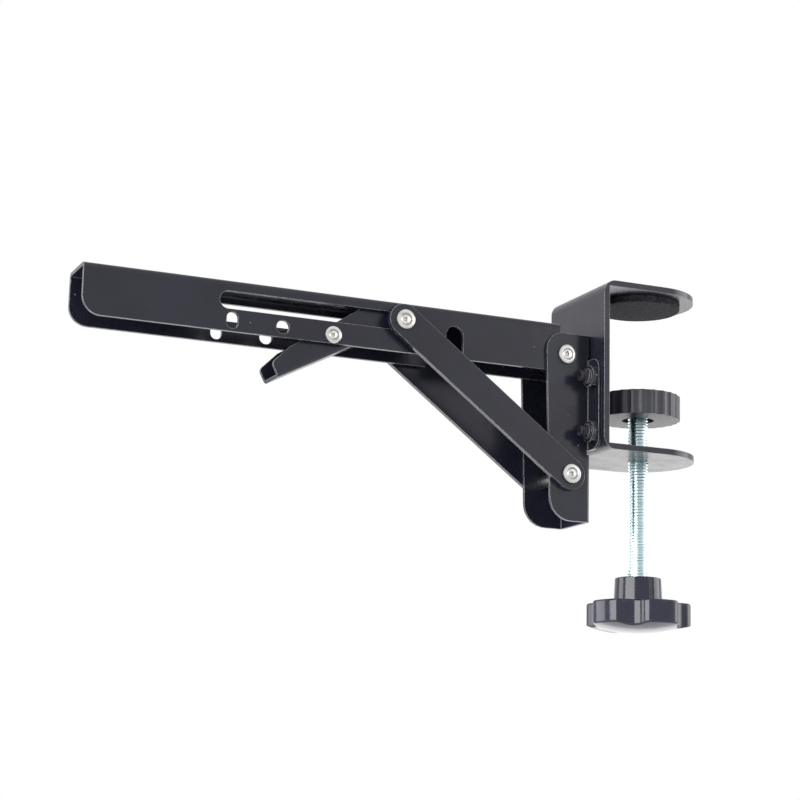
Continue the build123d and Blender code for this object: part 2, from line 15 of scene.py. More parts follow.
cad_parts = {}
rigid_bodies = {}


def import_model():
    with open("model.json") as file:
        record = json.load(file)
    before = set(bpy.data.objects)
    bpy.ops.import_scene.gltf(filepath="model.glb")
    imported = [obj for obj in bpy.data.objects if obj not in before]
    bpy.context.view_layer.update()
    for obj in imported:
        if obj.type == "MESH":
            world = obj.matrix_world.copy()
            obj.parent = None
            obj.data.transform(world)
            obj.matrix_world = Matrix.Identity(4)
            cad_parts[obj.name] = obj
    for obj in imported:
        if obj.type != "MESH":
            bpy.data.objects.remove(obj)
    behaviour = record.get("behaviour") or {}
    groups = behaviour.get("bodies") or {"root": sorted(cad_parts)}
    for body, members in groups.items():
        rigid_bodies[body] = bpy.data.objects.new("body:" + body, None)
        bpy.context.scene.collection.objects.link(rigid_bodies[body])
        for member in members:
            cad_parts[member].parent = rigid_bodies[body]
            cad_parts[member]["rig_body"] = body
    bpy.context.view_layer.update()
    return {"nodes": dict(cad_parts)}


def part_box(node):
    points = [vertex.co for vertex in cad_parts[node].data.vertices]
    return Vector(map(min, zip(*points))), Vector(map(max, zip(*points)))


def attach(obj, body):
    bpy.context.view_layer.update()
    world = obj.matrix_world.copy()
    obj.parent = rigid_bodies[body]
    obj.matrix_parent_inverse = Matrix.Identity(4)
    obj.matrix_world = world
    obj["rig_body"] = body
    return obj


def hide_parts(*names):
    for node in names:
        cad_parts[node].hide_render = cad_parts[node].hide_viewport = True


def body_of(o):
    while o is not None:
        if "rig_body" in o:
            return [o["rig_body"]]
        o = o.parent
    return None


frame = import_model()

bl_info = {
    "name": "Folding Shelf Bracket",
    "version": (1, 0, 0),
    "blender": (4, 5, 0),
    "location": "3D View > Sidebar > Shelf Bracket",
    "description": "Finishes the packed shelf bracket and sets up its studio",
    "category": "Object",
}

MM = 0.001
SHARP_ANGLE = math.radians(35)
MERGE_DISTANCE = MM / 500
ALONG_Y = Matrix.Rotation(-math.pi / 2, 4, "X")
ALONG_MINUS_Y = Matrix.Rotation(math.pi / 2, 4, "X")
ALONG_MINUS_X = Matrix.Rotation(-math.pi / 2, 4, "Y")

# Small forms
ROOT_FLAT = 0.25  # of a thread's pitch
CREST_FLAT = 0.125  # of a thread's pitch
CORE_LENGTH = MM  # plain core that joins a thread to its neck or head
RIVET_EDGE = 0.28 * MM  # rounding of a rivet head's rim
NUT_EDGE = 0.2 * MM  # chamfer of the nut's flange and collar
HEX_OVERLAP = 0.1 * MM  # the hexagon reaches this far into the nut's flange
HEX_CHAMFER = 0.05 * MM
SOCKET_SHARE = 0.42  # of a bolt head's radius
SOCKET_DEPTH = 0.75 * MM  # at the socket's wall
SOCKET_TIP = 0.9 * MM  # at the socket's middle
FOAM_LUMPS = 0.9 * MM  # size of the uneven spots in the grip pad's skin

# Sides of the turned pieces
RIVET_SIDES = 48
SCREW_HEAD_SIDES = 32
NUT_SIDES = 40
HEX_SIDES = 24
BOLT_HEAD_SIDES = 36
FOAM_SIDES = 160

# Steps in one turn of a thread, and across the grip pad's face and corner
SCREW_STEPS = 28
BOLT_STEPS = 24
FOAM_RINGS = 30
FOAM_CORNER_STEPS = 5

# Finishes
EDGE_TURN = 0.12  # how much a rounded edge turns before it gets a painted highlight
COAT_ROUNDING = 0.28 * MM
OXIDE_ROUNDING = 0.2 * MM
PLASTIC_ROUNDING = 0.2 * MM
ORANGE_PEEL = 0.55 * MM
SPECK_SPACING = 4.6 * MM
SPECK_RADIUS = (0.045, 0.06)  # full and faded, as shares of the spacing
SPECK_RARITY = 0.86  # share of the places that stay without a speck
GROOVE_REACH = 0.8 * MM
GROOVE_PAINTED_SHADE = 0.45  # how bright plated metal stays under the painted shade in its grooves

COATED_NODES = {
    "clamp_frame": "clamp_paint",
    "wall_bracket": "bracket_paint",
    "shelf_arm": "arm_paint",
    "release_lever": "lever_paint",
    "brace_near": "brace_paint",
    "brace_far": "brace_paint",
}
FASTENER_PLACES = ("near_upper", "near_lower", "far_upper", "far_lower")

# A rivet head's turned face from its rim in, as shares of the head's radius and of its height
RIVET_FACE = (
    (0.66, 0),
    (0.60, 0.32),
    (0.54, 0.34),
    (0.46, 0.10),
    (0.30, 0.06),
    (0.21, 0.30),
    (0.17, 0.80),
    (0, 0.90),
)

# Soft lamps that face the middle of the bracket: place, width, height and watts
STUDIO_MIDDLE = (-0.1, 0, -0.05)
LAMPS = {
    "key_lamp": ((-0.9, -0.5, 1.1), 0.9, 0.9, 5),
    "side_box": ((-1.41, -0.51, 0.16), 1.3, 0.9, 23),
    "left_box": ((-1.3, 0.75, 0.05), 0.7, 1.0, 8),
    "right_box": ((1.38, -0.35, 0.1), 1.0, 1.1, 10),
    "back_box": ((1.1, 1.0, -0.26), 1.1, 0.28, 0.8),
    "low_box": ((0.15, 0.65, -0.34), 1.2, 0.24, 1.1),
    "front_box": ((0.85, -1.3, 0.36), 0.45, 0.35, 0.6),
}


def colour(name, description, default):
    return FloatVectorProperty(
        name=name, description=description, default=default, subtype="COLOR", size=3, min=0, max=1
    )


def length(name, description, millimetres):
    return FloatProperty(
        name=name,
        description=description,
        default=millimetres * MM,
        unit="LENGTH",
        precision=5,
    )


def share(name, description, default):
    return FloatProperty(
        name=name, description=description, default=default, subtype="FACTOR", min=0, max=1
    )


class BracketFinish(bpy.types.PropertyGroup):
    """Colours and gloss of the finishes."""

    coat: colour("Powder coat", "Black powder coat on the sheet steel", (0.0085, 0.0090, 0.0158))
    # Painted highlight: a lighter coat colour along the sheared edges, where they catch the light
    coat_edge_painted_highlight: colour("Painted edge highlight", "Painted highlight along the sheared edges", (0.38, 0.39, 0.43))
    coat_speck: colour("Dust specks", "Pale specks in the coat", (0.16, 0.16, 0.17))
    coat_roughness: share("Coat roughness", "Roughness of the powder coat", 0.24)
    coat_gloss: share("Coat gloss", "Strength of the coat's head-on reflection", 0.4)
    nickel: colour("Nickel", "Plated rivet heads", (0.72, 0.705, 0.68))
    nickel_shade: colour("Nickel shade", "Darker patches of the nickel", (0.56, 0.547, 0.525))
    zinc: colour("Zinc", "Blue zinc plate of the clamp screw", (0.86, 0.97, 0.985))
    zinc_shade: colour("Zinc shade", "Darker patches of the zinc", (0.70, 0.87, 0.91))
    rod: colour("Rod steel", "Bright steel of the lower pivot rod", (0.66, 0.65, 0.635))
    rod_shade: colour("Rod shade", "Darker patches of the rod", (0.56, 0.555, 0.54))
    oxide: colour("Black oxide", "Ear bolts and nuts", (0.006, 0.006, 0.010))
    # Painted highlight: a pale colour on the rims of the ear bolts and nuts, where they catch the
    # light
    oxide_painted_highlight: colour("Oxide painted highlight", "Bright rims of the ear bolts and nuts", (0.6, 0.6, 0.65))
    oiled_steel: colour("Oiled steel", "Slot bushes and the lever spring", (0.16, 0.16, 0.165))
    knob: colour("Knob plastic", "Glossy black moulded knob", (0.006, 0.0065, 0.018))
    pad: colour("Pad plastic", "Satin black pressure pad", (0.017, 0.017, 0.025))
    foam: colour("Grip foam", "Black grip pad", (0.011, 0.011, 0.013))


class BracketSizes(bpy.types.PropertyGroup):
    """Sizes of the pieces that are made here."""

    thread_pitch: length("Thread pitch", "Pitch of the clamp screw", 1.25)
    thread_depth: length("Thread depth", "Crest to root of the clamp screw", 0.68)
    neck_radius: length("Neck radius", "Screw's neck in the pressure pad", 2.4)
    neck_length: length("Neck length", "Length of the screw's neck", 2.2)
    screw_head_radius: length("Screw head radius", "Head held in the pressure pad", 3.2)
    screw_head_height: length("Screw head height", "Height of the held head", 2.5)
    pivot_radius: length("Pivot pin radius", "Arm pivot pin between its heads", 2.5)
    rod_radius: length("Rod radius", "Lower rod between the bracket's sides", 2.5)
    rod_end_radius: length("Rod end radius", "Lower rod in the bracket and the braces", 2.0)
    rod_shoulder: length("Rod shoulder", "Lower rod's middle, to one side", 10.1)
    brace_rivet_radius: length("Brace rivet radius", "Rivet in the brace's upper end", 2.1)
    lever_pin_radius: length("Lever pin radius", "Lever pin between its heads", 2.0)
    rivet_head_height: length("Rivet head height", "Heads of the pivots and brace rivets", 1.2)
    lever_head_height: length("Lever rivet head height", "Heads of the lever pin", 1.0)
    bolt_radius: length("Bolt radius", "Ear bolts", 2.0)
    bolt_pitch: length("Bolt pitch", "Thread of the ear bolts", 0.7)
    bolt_thread_depth: length("Bolt thread depth", "Crest to root of the ear bolts", 0.38)
    nut_flats: length("Nut flats", "Ear nuts across the flats", 7.0)
    nut_hex_height: length("Nut hexagon", "Height of the hexagon under the flange", 1.8)
    nut_flange: length("Nut flange", "Thickness of the nut's round flange", 0.9)
    nut_collar: length("Nut collar", "Radius of the collar on the flange", 2.9)
    foam_rounding: length("Foam rounding", "Rounding of the grip pad's edge", 0.6)
    foam_grain: length("Foam grain", "Depth of the grip pad's texture", 0.09)


class BracketStage(bpy.types.PropertyGroup):
    """Floor, light and camera."""

    floor_height: length("Floor height", "Floor below the clamp's seat", -450)
    floor_size: length("Floor size", "Side of the square floor", 9000)
    floor_colour: colour("Floor", "Plain pale floor", (0.86, 0.86, 0.86))
    world_strength: FloatProperty(
        name="Sky strength", description="Even light from all round", default=0.85, min=0
    )
    camera_place: FloatVectorProperty(
        name="Camera place",
        description="Where the photograph was taken from",
        default=(-0.391595, -0.678437, -0.200790),
        subtype="XYZ",
        unit="LENGTH",
    )
    camera_target: FloatVectorProperty(
        name="Camera target",
        description="Point in the middle of the photograph",
        default=(-0.102250, 0.0, -0.046696),
        subtype="XYZ",
        unit="LENGTH",
    )
    camera_roll: FloatProperty(
        name="Camera roll", description="Tilt of the picture", default=0.02436, subtype="ANGLE"
    )
    focal_length: FloatProperty(
        name="Focal length", description="Lens in millimetres", default=90.449, unit="CAMERA"
    )


# Meshes


def finished_piece(shells, name, material, node):
    """Joins closed shells into a piece that stands for a CAD node and rides on its body."""
    mesh = bpy.data.meshes.new(name)
    joined = bmesh.new()
    for shell in shells:
        bmesh.ops.recalc_face_normals(shell, faces=shell.faces)
        shell.to_mesh(mesh)
        shell.free()
        joined.from_mesh(mesh)
    joined.to_mesh(mesh)
    joined.free()
    mesh.shade_smooth()
    mesh.set_sharp_from_angle(angle=SHARP_ANGLE)
    mesh.materials.append(material)
    piece = bpy.data.objects.new(name, mesh)
    bpy.context.scene.collection.objects.link(piece)
    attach(piece, body_of(frame["nodes"][node])[0])
    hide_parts(node)
    return piece


def turned_shell(outline, segments, place=None):
    """Turns an outline of (radius, height) points, from axis to axis, and puts it in place."""
    bm = bmesh.new()
    start = [bm.verts.new((radius, 0, height)) for radius, height in outline]
    edges = [bm.edges.new(pair) for pair in zip(start, start[1:])]
    bmesh.ops.spin(
        bm,
        geom=start + edges,
        cent=(0, 0, 0),
        axis=(0, 0, 1),
        angle=2 * math.pi,
        steps=segments,
        use_merge=True,
    )
    bmesh.ops.remove_doubles(bm, verts=bm.verts, dist=MERGE_DISTANCE)
    if place:
        bmesh.ops.transform(bm, matrix=place, verts=bm.verts)
    return bm


def thread_shell(radius, depth, pitch, low, high, steps, place=None):
    """A closed right-hand thread between two heights on its axis."""
    root = radius - depth
    flank = (1 - ROOT_FLAT - CREST_FLAT) / 2
    profile = (
        (root, 0),
        (root, pitch * ROOT_FLAT),
        (radius, pitch * (ROOT_FLAT + flank)),
        (radius, pitch * (1 - flank)),
        (root, pitch),
    )
    turns = math.ceil((high - low) / pitch) + 3
    start_height = low - 1.5 * pitch
    bm = bmesh.new()
    start = [bm.verts.new((r, 0, start_height + z)) for r, z in profile]
    edges = [bm.edges.new(pair) for pair in zip(start, start[1:])]
    bmesh.ops.spin(
        bm,
        geom=start + edges,
        cent=(0, 0, 0),
        axis=(0, 0, 1),
        dvec=(0, 0, pitch / steps),
        angle=2 * math.pi * turns,
        steps=steps * turns,
    )
    bmesh.ops.remove_doubles(bm, verts=bm.verts, dist=MERGE_DISTANCE)
    for height, normal in ((low, (0, 0, -1)), (high, (0, 0, 1))):
        bmesh.ops.bisect_plane(
            bm,
            geom=[*bm.verts, *bm.edges, *bm.faces],
            dist=MM / 1e5,
            plane_co=(0, 0, height),
            plane_no=normal,
            clear_outer=True,
        )
        rim = [
            edge
            for edge in bm.edges
            if edge.is_boundary and all(abs(v.co.z - height) < MM / 1000 for v in edge.verts)
        ]
        bmesh.ops.holes_fill(bm, edges=rim, sides=0)
    if place:
        bmesh.ops.transform(bm, matrix=place, verts=bm.verts)
    return bm


def hex_shell(flats, bore, low, high, chamfer, place):
    """A hexagon with a round bore, its outer corners rounded off at the top."""
    bm = bmesh.new()
    corner = flats / 2 / math.cos(math.pi / 6)
    bmesh.ops.create_circle(bm, cap_ends=False, radius=corner, segments=6)
    bmesh.ops.subdivide_edges(bm, edges=bm.edges, cuts=HEX_SIDES // 6 - 1)
    bmesh.ops.create_circle(bm, cap_ends=False, radius=bore, segments=HEX_SIDES)
    bridged = bmesh.ops.bridge_loops(bm, edges=bm.edges)["faces"]
    bmesh.ops.translate(bm, vec=(0, 0, low), verts=bm.verts)
    raised = bmesh.ops.extrude_face_region(bm, geom=bridged)["geom"]
    top = [v for v in raised if isinstance(v, bmesh.types.BMVert)]
    bmesh.ops.translate(bm, vec=(0, 0, high - low), verts=top)
    rim = [
        edge
        for edge in bm.edges
        if all(v.co.z > high - MM / 100 and v.co.xy.length > bore * 1.1 for v in edge.verts)
        and edge.calc_face_angle(0) > SHARP_ANGLE
    ]
    bmesh.ops.bevel(
        bm, geom=rim, offset=chamfer, segments=2, profile=0.5, affect="EDGES", material=-1
    )
    bmesh.ops.transform(bm, matrix=place, verts=bm.verts)
    return bm


# Materials


class Finish:
    """A material with its node tree and shader, built up one layer at a time."""

    def __init__(self, name, base, roughness, metallic=0.0, gloss=0.5):
        self.material = bpy.data.materials.new(name)
        self.material.use_nodes = True
        self.tree = self.material.node_tree
        self.shader = self.tree.nodes["Principled BSDF"]
        self.shader.inputs["Base Color"].default_value = (*base, 1)
        self.shader.inputs["Roughness"].default_value = roughness
        self.shader.inputs["Metallic"].default_value = metallic
        self.shader.inputs["Specular IOR Level"].default_value = gloss
        self.place = self.node("ShaderNodeTexCoord").outputs["Object"]

    def node(self, kind, **settings):
        made = self.tree.nodes.new(kind)
        for key, value in settings.items():
            setattr(made, key, value)
        return made

    def link(self, source, target):
        self.tree.links.new(source, target)

    def noise(self, size, detail=2.0, roughness=0.5, stretch=None):
        """Noise whose grains are about the given size."""
        texture = self.node("ShaderNodeTexNoise")
        texture.inputs["Scale"].default_value = 1 / size
        texture.inputs["Detail"].default_value = detail
        texture.inputs["Roughness"].default_value = roughness
        place = self.place
        if stretch:
            mapping = self.node("ShaderNodeMapping")
            mapping.inputs["Scale"].default_value = stretch
            self.link(place, mapping.inputs["Vector"])
            place = mapping.outputs["Vector"]
        self.link(place, texture.inputs["Vector"])
        return texture.outputs["Fac"]

    def clouds(self, size):
        """Soft patches of about the given size, from 0 to 1."""
        return self.between(self.noise(size, 3.0), 0.35, 0.65, 0, 1)

    def between(self, value, low, high, to_low, to_high):
        """Maps a value from one range to another, clamped."""
        mapping = self.node("ShaderNodeMapRange")
        for name, number in zip(
            ("From Min", "From Max", "To Min", "To Max"), (low, high, to_low, to_high)
        ):
            mapping.inputs[name].default_value = number
        self.link(value, mapping.inputs["Value"])
        return mapping.outputs["Result"]

    def mix(self, factor, first, second):
        """Mixes two colours, each a tuple or a socket."""
        mixed = self.node("ShaderNodeMix", data_type="RGBA")
        self.link(factor, mixed.inputs["Factor"])
        for colour_in, name in ((first, 6), (second, 7)):
            if isinstance(colour_in, bpy.types.NodeSocket):
                self.link(colour_in, mixed.inputs[name])
            else:
                mixed.inputs[name].default_value = (*colour_in, 1)
        return mixed.outputs[2]

    def math(self, operation, first, second):
        made = self.node("ShaderNodeMath", operation=operation)
        for index, value in enumerate((first, second)):
            if isinstance(value, bpy.types.NodeSocket):
                self.link(value, made.inputs[index])
            else:
                made.inputs[index].default_value = value
        return made.outputs[0]

    def rounded_edges(self, radius):
        """Normals that round off the edges in shading."""
        bevel = self.node("ShaderNodeBevel", samples=6)
        bevel.inputs["Radius"].default_value = radius
        return bevel.outputs["Normal"]

    def edge_mask(self, normal):
        """1 close to an edge and 0 on flat stretches."""
        geometry = self.node("ShaderNodeNewGeometry")
        facing = self.node("ShaderNodeVectorMath", operation="DOT_PRODUCT")
        self.link(normal, facing.inputs[0])
        self.link(geometry.outputs["True Normal"], facing.inputs[1])
        return self.between(facing.outputs["Value"], 1 - EDGE_TURN, 1, 1, 0)

    def hollow_painted_shade_mask(self):
        """1 in the piece's own grooves and hollows, where shade is painted, and 0 in the open."""
        open_share = self.node("ShaderNodeAmbientOcclusion", samples=8, only_local=True)
        open_share.inputs["Distance"].default_value = GROOVE_REACH
        return self.between(open_share.outputs["AO"], 0.35, 0.95, 1, 0)

    def bump(self, height, depth, strength, normal=None):
        bump = self.node("ShaderNodeBump")
        bump.inputs["Distance"].default_value = depth
        bump.inputs["Strength"].default_value = strength
        self.link(height, bump.inputs["Height"])
        if normal is not None:
            self.link(normal, bump.inputs["Normal"])
        return bump.outputs["Normal"]

    def set(self, name, socket):
        self.link(socket, self.shader.inputs[name])


def powder_coat(name, look, phase):
    """Satin black powder coat: orange peel, uneven gloss, a painted highlight along the edges and
    a few specks.
    """
    finish = Finish(name, look.coat, look.coat_roughness, gloss=look.coat_gloss)
    rounded = finish.rounded_edges(COAT_ROUNDING)
    # Painted highlight along the sheet's edges, broken up by noise
    painted_highlight_share = finish.between(finish.noise(1.3 * MM, 4.0, 0.65), 0.38, 0.62, 0.35, 1)
    edges = finish.math("MULTIPLY", finish.edge_mask(rounded), painted_highlight_share)
    darker = tuple(c * 0.86 for c in look.coat)
    lighter = tuple(c * 1.12 for c in look.coat)
    cloudy = finish.mix(finish.clouds((21 + phase) * MM), darker, lighter)
    cells = finish.node("ShaderNodeTexVoronoi")
    cells.inputs["Scale"].default_value = 1 / SPECK_SPACING
    finish.link(finish.place, cells.inputs["Vector"])
    near_middle = finish.between(cells.outputs["Distance"], *SPECK_RADIUS, 1, 0)
    separate = finish.node("ShaderNodeSeparateColor")
    finish.link(cells.outputs["Color"], separate.inputs["Color"])
    chosen = finish.between(separate.outputs["Red"], SPECK_RARITY, SPECK_RARITY + 0.01, 0, 1)
    specks = finish.math("MULTIPLY", near_middle, chosen)
    specked = finish.mix(specks, cloudy, look.coat_speck)
    # Mixes the painted edge highlight into the coat's colour
    finish.set("Base Color", finish.mix(edges, specked, look.coat_edge_painted_highlight))
    satin, dull = look.coat_roughness - 0.05, look.coat_roughness + 0.06
    finish.set("Roughness", finish.between(finish.noise(7 * MM, 4.0), 0.3, 0.7, satin, dull))
    finish.set("Normal", finish.bump(finish.noise(ORANGE_PEEL), 0.02 * MM, 0.35, rounded))
    return finish.material


def plated(name, base, roughness, tint, grain, stretch=None):
    """Plated or bare metal with slightly uneven colour, painted shade in its grooves and fine
    turning marks.
    """
    finish = Finish(name, base, roughness, metallic=1.0)
    cloudy = finish.mix(finish.clouds(2.6 * MM), base, tint)
    painted_groove_shade = tuple(c * GROOVE_PAINTED_SHADE for c in tint)
    # Painted shade: a darker colour in the grooves and hollows where shade falls
    finish.set("Base Color", finish.mix(finish.hollow_painted_shade_mask(), cloudy, painted_groove_shade))
    marks = finish.noise(grain, 3.0, 0.6, stretch)
    finish.set("Roughness", finish.between(marks, 0.25, 0.75, roughness - 0.08, roughness + 0.1))
    finish.set("Normal", finish.bump(marks, 0.01 * MM, 0.4))
    return finish.material


def black_oxide(name, look, rim_highlight_strength):
    """Black steel with a thin oily sheen and a painted highlight on its edges, at the given
    strength.
    """
    finish = Finish(name, look.oxide, 0.3, gloss=0.2)
    rounded = finish.rounded_edges(OXIDE_ROUNDING)
    edges = finish.edge_mask(rounded)
    # Painted highlight on the rims, in patches, at the given strength
    patches = finish.between(finish.noise(1.8 * MM), 0.35, 0.5, 0.3, 1)
    painted_highlight_share = finish.math("MULTIPLY", finish.math("MULTIPLY", edges, patches), rim_highlight_strength)
    finish.set("Base Color", finish.mix(painted_highlight_share, look.oxide, look.oxide_painted_highlight))
    finish.set("Roughness", finish.between(finish.noise(1.1 * MM, 3.0), 0.3, 0.7, 0.16, 0.3))
    finish.set("Normal", finish.bump(finish.noise(0.35 * MM), 0.01 * MM, 0.2, rounded))
    return finish.material


def moulded_plastic(name, base, roughness, ripple, ripple_depth):
    """Moulded plastic with faint flow ripples and fine scuffs."""
    finish = Finish(name, base, roughness)
    rounded = finish.rounded_edges(PLASTIC_ROUNDING)
    lighter = tuple(c * 1.5 for c in base)
    finish.set("Base Color", finish.mix(finish.clouds(9 * MM), base, lighter))
    scuffs = finish.noise(1.2 * MM, 5.0, 0.65, (1.0, 1.0, 0.25))
    finish.set("Roughness", finish.between(scuffs, 0.3, 0.75, roughness, roughness + 0.14))
    finish.set("Normal", finish.bump(finish.noise(ripple), ripple_depth, 0.5, rounded))
    return finish.material


def grip_foam(name, look):
    """Black foam rubber with a fine open grain."""
    finish = Finish(name, look.foam, 0.92, gloss=0.2)
    grain = finish.noise(1.3 * MM, 4.0, 0.7)
    pale = tuple(c * 3.0 for c in look.foam)
    finish.set("Base Color", finish.mix(finish.between(grain, 0.42, 0.6, 0, 1), look.foam, pale))
    finish.set("Normal", finish.bump(grain, 0.3 * MM, 0.8))
    return finish.material


# Pieces


class BRACKET_OT_coat_steel(bpy.types.Operator):
    """Powder-coats the clamp, the wall bracket, the arm, the lever and the braces"""

    bl_idname = "bracket.coat_steel"
    bl_label = "Coat the Sheet Steel"

    def execute(self, context):
        look = context.scene.bracket_finish
        coats = {}
        for phase, slot in enumerate(sorted(set(COATED_NODES.values()))):
            coats[slot] = powder_coat(slot, look, phase)
        for node, slot in COATED_NODES.items():
            dress_node(node, coats[slot])
        return {"FINISHED"}


def dress_node(node, material):
    """Puts a material on every material slot of a CAD node."""
    mesh = frame["nodes"][node].data
    if not mesh.materials:
        mesh.materials.append(material)
    for index in range(len(mesh.materials)):
        mesh.materials[index] = material


def rivet_head(radius, seat, height, shaft):
    """Outline of a turned rivet head, from the shaft out and in to the dimple's centre."""
    top = seat + height
    rim = [
        (shaft, seat),
        (radius, seat),
        (radius, top - RIVET_EDGE),
        (radius - 0.3 * RIVET_EDGE, top - 0.3 * RIVET_EDGE),
        (radius - RIVET_EDGE, top),
    ]
    return rim + [(across * radius, top - deep * height) for across, deep in RIVET_FACE]


class BRACKET_OT_turn_rivets(bpy.types.Operator):
    """Turns the rivets, the pivot pin and the lower rod, with ringed heads"""

    bl_idname = "bracket.turn_rivets"
    bl_label = "Turn the Rivets"

    def execute(self, context):
        look = context.scene.bracket_finish
        size = context.scene.bracket_sizes
        nickel = plated("rivet_nickel", look.nickel, 0.15, look.nickel_shade, 0.25 * MM)
        rod = plated("rod_zinc", look.rod, 0.24, look.rod_shade, 0.3 * MM, (1, 6, 1))
        head = size.rivet_head_height
        small_head = size.lever_head_height
        two_headed = (
            ("arm_pivot_pin", size.pivot_radius, head, None, nickel, "rivet_nickel"),
            ("lower_pivot_rod", size.rod_end_radius, head, size.rod_radius, rod, "rod_zinc"),
            ("lever_pin", size.lever_pin_radius, small_head, None, nickel, "rivet_nickel"),
        )
        for node, shaft, height, middle, material, slot in two_headed:
            low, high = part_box(node)
            radius = (high.x - low.x) / 2
            half = rivet_head(radius, high.y - height, height, shaft)
            if middle:
                half = [(middle, size.rod_shoulder), (shaft, size.rod_shoulder)] + half
            outline = [(r, -y) for r, y in reversed(half)] + half
            centre = (low + high) / 2
            shell = turned_shell(outline, RIVET_SIDES, Matrix.Translation(centre) @ ALONG_Y)
            finished_piece([shell], f"{node}_turned", material, node)
        for node, way in (("brace_rivet_near", ALONG_MINUS_Y), ("brace_rivet_far", ALONG_Y)):
            low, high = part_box(node)
            radius = (high.x - low.x) / 2
            depth = high.y - low.y
            inner_y = high.y if node == "brace_rivet_near" else low.y
            start = Vector(((low.x + high.x) / 2, inner_y, (low.z + high.z) / 2))
            shaft = size.brace_rivet_radius
            outline = [(0, 0), (shaft, 0)] + rivet_head(radius, depth - head, head, shaft)[1:]
            outline.insert(2, (shaft, depth - head))
            shell = turned_shell(outline, RIVET_SIDES, Matrix.Translation(start) @ way)
            finished_piece([shell], f"{node}_turned", nickel, node)
        return {"FINISHED"}


class BRACKET_OT_cut_clamp_screw(bpy.types.Operator):
    """Cuts the clamp screw's thread, with its neck and head in the pressure pad"""

    bl_idname = "bracket.cut_clamp_screw"
    bl_label = "Cut the Clamp Screw"

    def execute(self, context):
        look = context.scene.bracket_finish
        size = context.scene.bracket_sizes
        zinc = plated("screw_zinc", look.zinc, 0.27, look.zinc_shade, 0.4 * MM)
        low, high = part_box("clamp_screw")
        radius = (high.x - low.x) / 2
        head_low = high.z - size.screw_head_height
        shoulder = head_low - size.neck_length
        thread = thread_shell(
            radius, size.thread_depth, size.thread_pitch, low.z, shoulder, SCREW_STEPS
        )
        outline = [
            (0, shoulder - CORE_LENGTH),
            (size.neck_radius, shoulder - CORE_LENGTH),
            (size.neck_radius, head_low),
            (size.screw_head_radius, head_low),
            (size.screw_head_radius, high.z),
            (0, high.z),
        ]
        held_end = turned_shell(outline, SCREW_HEAD_SIDES)
        shells = [thread, held_end]
        finished_piece(shells, "clamp_screw_threaded", zinc, "clamp_screw")
        return {"FINISHED"}


def outwards_from(low, high):
    """Places a fastener's axis along -X, starting at the middle of its box's +X side."""
    start = Vector((high.x, (low.y + high.y) / 2, (low.z + high.z) / 2))
    return Matrix.Translation(start) @ ALONG_MINUS_X


class BRACKET_OT_fit_ear_fasteners(bpy.types.Operator):
    """Fits the threaded bolts and flange nuts that hold the bracket's ears"""

    bl_idname = "bracket.fit_ear_fasteners"
    bl_label = "Fit the Ear Fasteners"

    def execute(self, context):
        look = context.scene.bracket_finish
        size = context.scene.bracket_sizes
        # The nuts get a strong painted rim highlight, the bolts a faint one
        nut_finish = black_oxide("nut_black", look, 0.75)
        bolt_finish = black_oxide("bolt_black", look, 0.15)
        for place in FASTENER_PLACES:
            bolt, nut = f"ear_bolt_{place}", f"ear_nut_{place}"
            low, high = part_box(nut)
            way = outwards_from(low, high)
            height = high.x - low.x
            flange = (high.y - low.y) / 2
            bore = size.bolt_radius
            under = size.nut_hex_height
            crown = under + size.nut_flange
            flats = hex_shell(size.nut_flats, bore, 0, under + HEX_OVERLAP, HEX_CHAMFER, way)
            ring = [
                (bore, under),
                (flange - NUT_EDGE, under),
                (flange, under + NUT_EDGE),
                (flange, crown - NUT_EDGE),
                (flange - NUT_EDGE, crown),
                (size.nut_collar, crown),
                (size.nut_collar, height - NUT_EDGE),
                (size.nut_collar - NUT_EDGE, height),
                (bore, height),
                (bore, under),
            ]
            rim = turned_shell(ring, NUT_SIDES, way)
            finished_piece([flats, rim], f"{nut}_hex", nut_finish, nut)

            low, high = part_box(bolt)
            way = outwards_from(low, high)
            reach = high.x - low.x
            head = (high.y - low.y) / 2
            shank = head - bore
            socket = SOCKET_SHARE * head
            countersunk = [
                (0, SOCKET_TIP),
                (socket, SOCKET_DEPTH),
                (socket, 0),
                (head, 0),
                (bore, shank),
                (bore - 0.05 * MM, shank + CORE_LENGTH),
                (0, shank + CORE_LENGTH),
            ]
            shells = [
                turned_shell(countersunk, BOLT_HEAD_SIDES, way),
                thread_shell(
                    bore,
                    size.bolt_thread_depth,
                    size.bolt_pitch,
                    shank + CORE_LENGTH / 2,
                    reach,
                    BOLT_STEPS,
                    way,
                ),
            ]
            finished_piece(shells, f"{bolt}_threaded", bolt_finish, bolt)
        return {"FINISHED"}


class BRACKET_OT_finish_plastics(bpy.types.Operator):
    """Gives the knob its gloss and the pressure pad its satin"""

    bl_idname = "bracket.finish_plastics"
    bl_label = "Finish the Plastics"

    def execute(self, context):
        look = context.scene.bracket_finish
        knob = moulded_plastic("knob_plastic", look.knob, 0.06, 2.4 * MM, 0.05 * MM)
        pad = moulded_plastic("pad_plastic", look.pad, 0.34, 1.1 * MM, 0.03 * MM)
        dress_node("clamp_knob", knob)
        dress_node("pressure_pad", pad)
        return {"FINISHED"}


